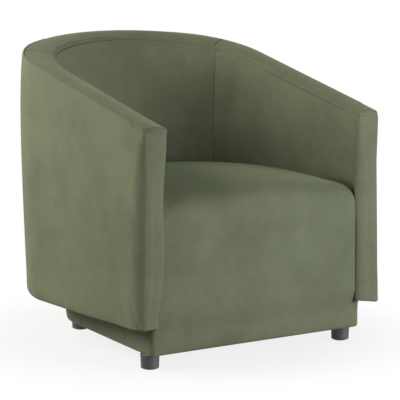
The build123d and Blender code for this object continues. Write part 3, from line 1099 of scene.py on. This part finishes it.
def plump(piece, cap):
    edge = [step.value for step in piece.data.attributes["edge"].data]
    moves = blow_up(piece, [i for i, steps in enumerate(edge) if steps < 1.5])
    for vertex, move, steps in zip(piece.data.vertices, moves, edge):
        far = max(move.length, 1e-9)
        vertex.co += move / far * cap * (1 - exp(-far / cap)) * smooth((steps - 1) / 6)
    most = max(move.length for move in moves)
    print(piece.name, "swelled by up to", round(most * 1000, 1), "mm, cap", cap * 1000)


for piece, cap in (
    (seat_cover, 0.003), (inside_back, 0.004), (wall_rear, 0.003), (arm_right, 0.002), (arm_left, 0.002),
):
    plump(piece, cap)

# %% [markdown]
# Each velvet panel gets smooth shading, one finer level and the thickness of cloth with its wadding. It
# rides on the chair's one body and stands for the solids that it covers.

# %% Dress the padding
CLOTH, PLINTH_CLOTH = 0.004, 0.005


def dress(piece, thickness, *stands_for, fill=0.85):
    for polygon in piece.data.polygons:
        polygon.use_smooth = True
    finer = piece.modifiers.new("finer", "SUBSURF")
    finer.levels = finer.render_levels = 1
    finer.boundary_smooth = "PRESERVE_CORNERS"
    wall = piece.modifiers.new("cloth_and_wadding", "SOLIDIFY")
    wall.thickness = thickness
    wall.offset = -1.0
    piece.data.materials.append(velvet.material)
    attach(piece, "root")
    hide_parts(*stands_for)
    print(piece.name, "stands for", len(stands_for))


for side, arm, strip in (("right", arm_right, strip_right), ("left", arm_left, strip_left)):
    dress(
        arm, CLOTH,
        f"outside_arm_{side}", f"arm_front_{side}", f"inside_arm_cover_{side}", f"inside_arm_foam_{side}")
    dress(strip, CLOTH, f"rim_strip_{side}")
dress(wall_rear, CLOTH, "outside_back")
dress(inside_back, CLOTH, "inside_back_cover", "inside_back_foam")
dress(strip_back, CLOTH, "rim_strip_back")
dress(seat_cover, CLOTH, "seat_cover", "seat_foam")
dress(plinth_cover, PLINTH_CLOTH, "plinth_cover")

# %% [markdown]
# The dust cloth is a single sheet, so it gets no thickness.

# %% Dress the dust sheet
for polygon in dust_sheet.data.polygons:
    polygon.use_smooth = True
dust_sheet.data.materials.append(finishes["dust_cloth"].material)
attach(dust_sheet, "root")
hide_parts("dust_cover")
print(dust_sheet.name, len(dust_sheet.data.polygons), "faces")

# %% [markdown]
# The set is a pale floor under soft light. The floor has to look white and still hold the chair's shadow.
# So most of what the camera sees of it is its own glow, less so under the chair, where the shadow lies.
# Mirrors and glass see the same. All other light falls on plain grey paper.

# %% Floor
GLOW_NEAR, GLOW_MORE_FAR_OFF = 0.84, 0.16


def seen_directly(wiring):
    """1 for what the camera sees, straight, in a mirror or through glass, and 0 for all other light."""
    kinds = ("Is Camera Ray", "Is Glossy Ray", "Is Transmission Ray")
    camera_ray, glossy_ray, glass_ray = (wiring.node("ShaderNodeLightPath", out=kind) for kind in kinds)
    return camera_ray + glossy_ray + glass_ray


floor_mesh = bpy.data.meshes.new("studio_floor")
bm = bmesh.new()
bmesh.ops.create_grid(bm, x_segments=2, y_segments=2, size=30.0)
bm.to_mesh(floor_mesh)
bm.free()
floor = bpy.data.objects.new("studio_floor", floor_mesh)
bpy.context.scene.collection.objects.link(floor)

paper = Finish("floor_paper")
paper.set(Base_Color=(*grey(0.42), 1), Roughness=0.9, Specular_IOR_Level=0.0)
away = paper.node("ShaderNodeVectorMath", {"operation": "LENGTH"}, out="Value", Vector=paper.object_place())
far = paper.node(
    "ShaderNodeMapRange", {"interpolation_type": "SMOOTHSTEP"}, Value=away, From_Min=0.35, From_Max=0.75)
glow = paper.node("ShaderNodeEmission", Strength=1.0)
plain = Wire(paper, paper.shader.outputs[0])
share = seen_directly(paper) * (GLOW_NEAR + GLOW_MORE_FAR_OFF * far)
surface = paper.node("ShaderNodeMixShader", sockets=(share, plain, glow))
paper.plug(surface, paper.tree.nodes["Material Output"].inputs["Surface"])
floor_mesh.materials.append(paper.material)
print("floor", len(paper.tree.nodes), "nodes")

# %% [markdown]
# A lamp behind the chair's right lights its flank, a wider one stands in front on its left, and the world
# fills the rest. Large lamps give the soft edges that a studio's cloth screens give.

# %% Lights
def soft_lamp(name, place, aim, size, power, colour=(1, 1, 1)):
    data = bpy.data.lights.new(name, "AREA")
    data.shape = "RECTANGLE"
    data.size, data.size_y = size
    data.energy, data.color = power, colour
    lamp = bpy.data.objects.new(name, data)
    lamp.location = place
    lamp.rotation_euler = (Vector(aim) - Vector(place)).to_track_quat("-Z", "Y").to_euler()
    bpy.context.scene.collection.objects.link(lamp)
    print(name, power, "W")


soft_lamp("flank_light", (-2.25, 1.1, 1.75), (-0.2, 0.0, 0.4), (1.3, 1.3), 118, (1.0, 0.97, 0.91))
soft_lamp("front_light", (1.35, -3.15, 0.75), (0, 0, 0.4), (2.0, 1.3), 132)

# %% [markdown]
# The world is white where it is seen, as a catalogue's background is, but it lights the chair with less
# than a third of that. The Standard view keeps white at white.

# %% World
FILL_LEVEL = 0.32

world = bpy.data.worlds.new("studio_world")
bpy.context.scene.world = world
world.use_nodes = True
surround = Wiring(world.node_tree)
background = world.node_tree.nodes["Background"]
surround.plug((1, 1, 1, 1), background.inputs["Color"])
surround.plug(FILL_LEVEL + (1 - FILL_LEVEL) * seen_directly(surround), background.inputs["Strength"])
bpy.context.scene.view_settings.view_transform = "Standard"
print("world", len(world.node_tree.nodes), "nodes")
